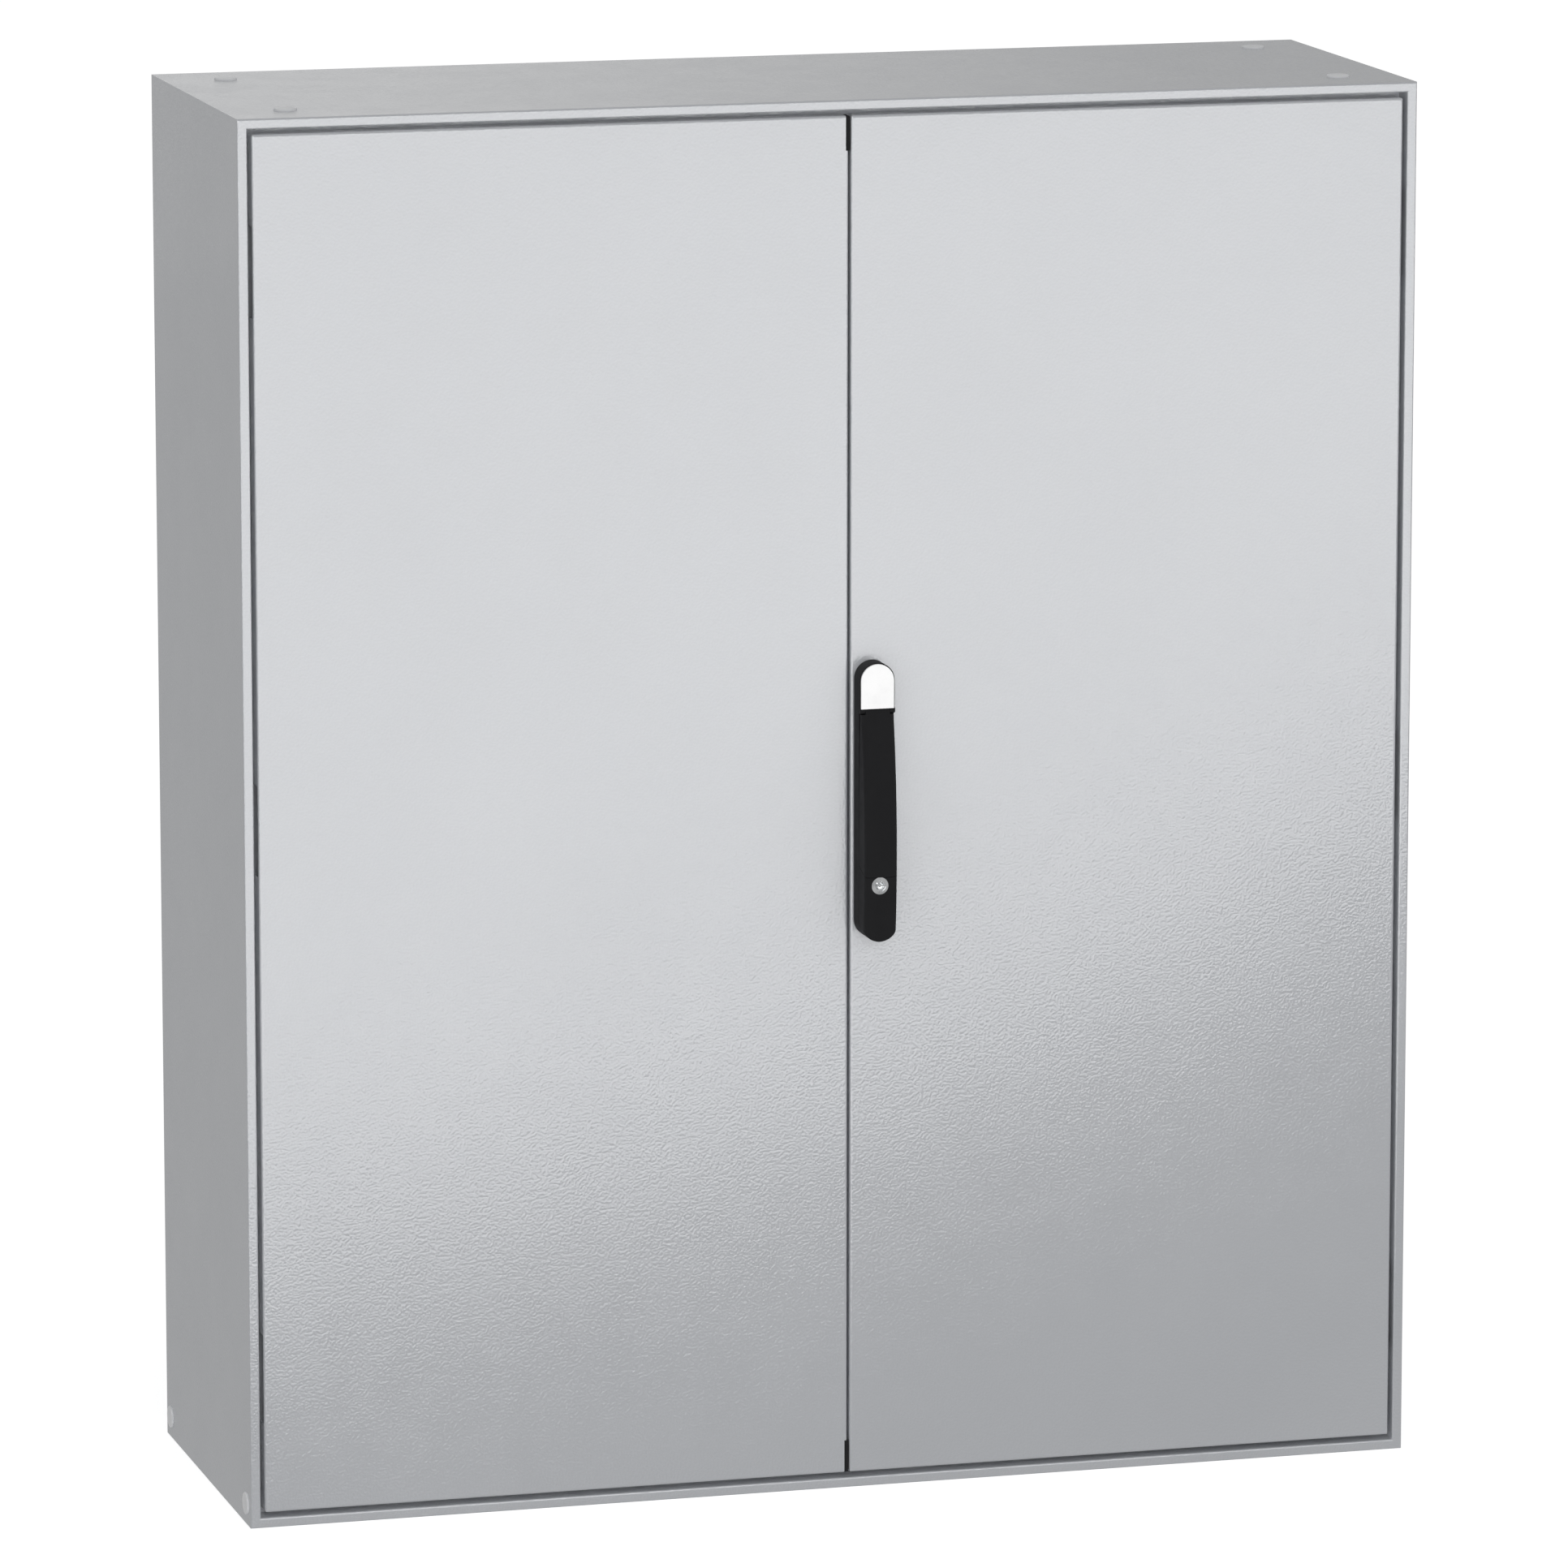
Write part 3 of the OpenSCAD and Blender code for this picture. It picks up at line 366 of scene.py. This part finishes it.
# a profile swept round each path, slightly uneven like foam laid by a nozzle
def foamRings(name, outlines, look, toPlace):
    chance = random.Random(look["seed"])
    waves = [(chance.randint(9, 40), chance.uniform(0, 6.28), chance.uniform(-1, 1))
             for i in range(look["waves"])]
    mesh = bmesh.new()
    for low, high in outlines:
        path, length = ringPath(low, high, look["corner"], look["step"])
        rings = []
        for spot, out, run in path:
            turn = 2 * math.pi * run / length
            wave = sum(size * math.sin(count * turn + start) for count, start, size in waves) / len(waves)
            seam = math.exp(-(min(run, length - run) / look["seam"]) ** 2)
            wide = look["width"] / 2 * (1 + look["uneven"] * wave)
            tall = look["height"] * (1 + look["uneven"] * wave * 0.6 + look["seamRise"] * seam)
            ring = []
            for across, up in look["profile"]:
                flat = spot + out * (across * wide)
                ring.append(mesh.verts.new(toPlace(flat[0], flat[1], up * tall)))
            rings.append(ring)
        for i, ring in enumerate(rings):
            onward = rings[(i + 1) % len(rings)]
            for j in range(len(ring)):
                k = (j + 1) % len(ring)
                mesh.faces.new((ring[j], ring[k], onward[k], onward[j]))
    bmesh.ops.recalc_face_normals(mesh, faces=mesh.faces)
    data = bpy.data.meshes.new(name)
    mesh.to_mesh(data)
    mesh.free()
    for face in data.polygons:
        face.use_smooth = True
    thing = bpy.data.objects.new(name, data)
    bpy.context.collection.objects.link(thing)
    data.materials.append(foam)
    return thing


# a domed bead on a flat foot, and a flat strip with bulging sides, as across (-1 to 1) and up (0 to 1)
foot = 0.16
arch = [math.radians(degrees) for degrees in range(12, 169, 12)]
dome = [(-1.0, 0.0), (-1.0, foot)]
dome += [(-math.cos(angle), foot + (1 - foot) * math.sin(angle)) for angle in arch]
dome += [(1.0, foot), (1.0, 0.0)]
strip = [(-0.985, 0.0), (-1.0, 0.25), (-1.0, 0.75), (-0.985, 1.0), (0.0, 1.0), (0.985, 1.0), (1.0, 0.75),
         (1.0, 0.25), (0.985, 0.0), (0.0, 0.0)]
doorBead = {
    "width": 0.0098,
    "height": 0.0058,
    "corner": 0.009,
    "step": 0.009,
    "uneven": 0.035,
    "waves": 6,
    "seam": 0.007,           # half the length of the lump where the bead starts and ends
    "seamRise": 0.045,
    "seed": 11,
    "profile": dome,
}
foamTape = {
    "width": 0.0165,
    "height": 0.002,
    "corner": 0.004,
    "step": 0.02,
    "uneven": 0.008,
    "waves": 6,
    "seam": 0.004,
    "seamRise": 0.0,
    "seed": 23,
    "profile": strip,
}


# rings just inside the outlines of some nodes, rising along an axis from the low side of the plain node
def ringsFor(name, outlineNodes, look, body, plainNode, axis="Y"):
    inset = look["width"] / 2
    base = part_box(plainNode)[0]
    u, v = (0, 2) if axis == "Y" else (0, 1)
    outlines = []
    for node in outlineNodes:
        low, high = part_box(node)
        outlines.append(((low[u] + inset, low[v] + inset), (high[u] - inset, high[v] - inset)))
    if axis == "Y":
        rings = foamRings(name, outlines, look, lambda x, z, up: (x, base[1] + up, z))
    else:
        rings = foamRings(name, outlines, look, lambda x, y, up: (x, y, base[2] + up))
    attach(rings, body)
    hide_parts(plainNode)


ringsFor("left_door_foam_bead", ["left_door_gasket"], doorBead, "left_door", "left_door_gasket")
ringsFor("right_door_foam_bead", ["right_door_gasket"], {**doorBead, "seed": 12}, "right_door",
         "right_door_gasket")
ringsFor("rear_foam_strip", ["rear_gasket"], {**foamTape, "width": 0.0215}, "cabinet", "rear_gasket")
ringsFor("gland_foam_strips", ["gland_plate_left", "gland_plate_right"], foamTape, "cabinet",
         "gland_gaskets", "Z")
print("gaskets made")


camera = {
    "place": (-2.600433, -9.420209, 2.509082),
    "turn": 0.269509,       # to the right of straight ahead, in radians
    "dip": 0.184679,        # below the horizon
    "lens": 225.747,
}

lens = bpy.data.cameras.new("camera")
lens.lens = camera["lens"]
lens.sensor_width = 36
lens.clip_end = 100
view = bpy.data.objects.new("camera", lens)
view.location = camera["place"]
view.rotation_euler = (math.pi / 2 - camera["dip"], 0, -camera["turn"])
bpy.context.collection.objects.link(view)
bpy.context.scene.camera = view


def flatMesh(name, corners):
    mesh = bpy.data.meshes.new(name)
    mesh.from_pydata(corners, [], [list(range(len(corners)))])
    thing = bpy.data.objects.new(name, mesh)
    bpy.context.collection.objects.link(thing)
    return thing


floorLook = {
    "halfSize": 30,
    "colour": (0.9, 0.9, 0.9),
    "glow": 0.62,
    "mottlePerMetre": 6,
}
half = floorLook["halfSize"]
floor = flatMesh("studio_floor", [(-half, -half, 0), (half, -half, 0), (half, half, 0), (-half, half, 0)])
material, wires, shader = newMaterial("pale_floor", {
    "Specular IOR Level": 0.0,
    "Roughness": 0.9,
    "Emission Strength": floorLook["glow"],
})
mottle = wires.noise(wires.place(), floorLook["mottlePerMetre"], 3.0)
wires.plug(shader.inputs["Base Color"], wires.mixColour(mottle, floorLook["colour"],
                                                       [c * 0.99 for c in floorLook["colour"]]))
wires.plug(shader.inputs["Emission Color"], (1, 1, 1))
floor.data.materials.append(material)
floor.visible_diffuse = False
floor.visible_glossy = False

sky = {
    "seen": 1.0,            # what the camera sees behind the object
    "fill": 0.46,           # what lights the object
}
world = bpy.data.worlds.new("studio")
bpy.context.scene.world = world
world.use_nodes = True
wires = Wires(world.node_tree)
path = wires.add("ShaderNodeLightPath", output="Is Camera Ray")
back = wires.add("ShaderNodeBackground", {}, {"Color": (1, 1, 1),
                                             "Strength": sky["fill"] + path * (sky["seen"] - sky["fill"])})
wires.make("ShaderNodeOutputWorld", {}, {"Surface": back})


def areaLight(name, look):
    lamp = bpy.data.lights.new(name, "AREA")
    lamp.shape = "RECTANGLE"
    lamp.size, lamp.size_y = look["size"]
    lamp.energy = look["watts"]
    thing = bpy.data.objects.new(name, lamp)
    thing.location = look["place"]
    toAim = Vector(look["aim"]) - Vector(look["place"])
    thing.rotation_euler = toAim.to_track_quat("-Z", "Y").to_euler()
    thing.visible_camera = False
    bpy.context.collection.objects.link(thing)
    return thing


keyLook = {
    "place": (-0.8, -7.0, 2.4),
    "aim": (0, 0, 0.7),
    "size": (3.0, 3.0),
    "watts": 75,
}
key = areaLight("key_light", keyLook)
key.visible_glossy = False

# a softbox for the bright pieces of the handle
badgeLook = {
    "place": (-0.55, -2.2, 1.25),
    "aim": (0.036, -0.22, 0.76),
    "size": (1.6, 1.6),
    "watts": 26,
    "nodes": ("handle_cap", "lock_bezel", "lock_core"),
}
badge = areaLight("badge_light", badgeLook)

# glowing screens that only some pieces mirror, each fading across one soft edge:
# the bright side is where up*z + side*x + curve*x*x + shift is above 0
reflectors = {
    "front_reflector": {
        "y": -1.7,
        "across": (-6, 6),
        "upright": (-2.0, 1.5),     # low enough not to blind the roof from behind
        "edge": {"up": 1.0, "side": -0.22, "curve": -0.10, "shift": 0.075},
        "soft": 0.06,
        "glow": 6.3,
        "nodes": ("enclosure_body", "left_door_panel", "right_door_panel"),
    },
    "rear_reflector": {
        "y": 1.7,
        "across": (-0.75, 6),
        "upright": (1.0, 5.0),
        "edge": {"up": 0.0, "side": -1.0, "curve": 0.0, "shift": 0.47},
        "soft": 0.8,
        "glow": 0.36,
        "nodes": ("enclosure_body", "roof_plugs"),
    },
}


def litOnly(thing, name, nodes):
    lit = bpy.data.collections.new(name)
    for node in nodes:
        lit.objects.link(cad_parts[node])
    thing.light_linking.receiver_collection = lit


def reflector(name, looks):
    y, (left, right), (low, top) = looks["y"], looks["across"], looks["upright"]
    screen = flatMesh(name, [(left, y, low), (right, y, low), (right, y, top), (left, y, top)])
    material = bpy.data.materials.new(name + "_glow")
    material.use_nodes = True
    wires = Wires(material.node_tree)
    spot = wires.place()
    x = wires.add("ShaderNodeSeparateXYZ", {}, {0: spot}, "X")
    z = wires.add("ShaderNodeSeparateXYZ", {}, {0: spot}, "Z")
    edge = looks["edge"]
    past = z * edge["up"] + x * edge["side"] + x * x * edge["curve"] + edge["shift"]
    shade = wires.mixColour(wires.ease(past, -looks["soft"], looks["soft"]), (0, 0, 0), (1, 1, 1))
    glow = wires.add("ShaderNodeEmission", {}, {"Color": shade, "Strength": looks["glow"]})
    clear = wires.add("ShaderNodeBsdfTransparent")
    both = wires.add("ShaderNodeAddShader", {}, {0: glow, 1: clear})
    wires.make("ShaderNodeOutputMaterial", {}, {"Surface": both})
    screen.data.materials.append(material)
    screen.visible_camera = False
    screen.visible_diffuse = False
    screen.visible_shadow = False
    litOnly(screen, name + "_mirrored_by", looks["nodes"])


for name, looks in reflectors.items():
    reflector(name, looks)
litOnly(badge, "badge_light_reaches", badgeLook["nodes"])

bpy.context.scene.view_settings.view_transform = "Standard"
bpy.context.scene.view_settings.look = "None"
print("studio set")
